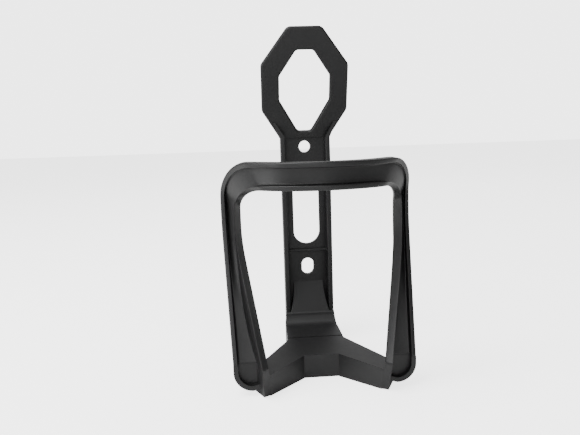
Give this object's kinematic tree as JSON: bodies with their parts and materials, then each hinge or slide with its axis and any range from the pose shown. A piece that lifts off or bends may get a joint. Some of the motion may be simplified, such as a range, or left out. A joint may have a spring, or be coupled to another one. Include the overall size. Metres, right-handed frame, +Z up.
{
  "type": "water bottle cage",
  "caption": "Moulded plastic bicycle bottle cage: flat bolted spine with a leaning octagonal head loop, a channel-section hoop round the bottle and a forked foot with a shelf under it.",
  "frame": {"origin": "on the plane the foot stands on, at the middle of the overall width and depth", "axes": "+Z up along the bottle; +Y back, out of the face that bolts to the frame tube; -Y is the front, where the hoop crosses the bottle; +X to the right seen from the front; XZ is parallel to the mounting face and YZ is the plane of symmetry"},
  "size_m": [0.0858, 0.089, 0.1626],
  "materials": {
    "moulding": "satin black glass-filled nylon, faintly grained, with brighter rounded edges"
  },
  "bodies": {
    "root": {"back_plate": "moulding", "left_rail": "moulding", "right_rail": "moulding", "cross_rib": "moulding", "head_loop": "moulding", "seat_ramp": "moulding", "heel": "moulding", "shelf": "moulding", "nose_skirt": "moulding", "left_skirt": "moulding", "right_skirt": "moulding", "left_toe": "moulding", "right_toe": "moulding", "left_cup": "moulding", "right_cup": "moulding", "left_leg": "moulding", "right_leg": "moulding", "left_shoulder": "moulding", "right_shoulder": "moulding", "bar_web": "moulding", "bar_top_flange": "moulding", "bar_bottom_flange": "moulding"}
  },
  "joints": []
}
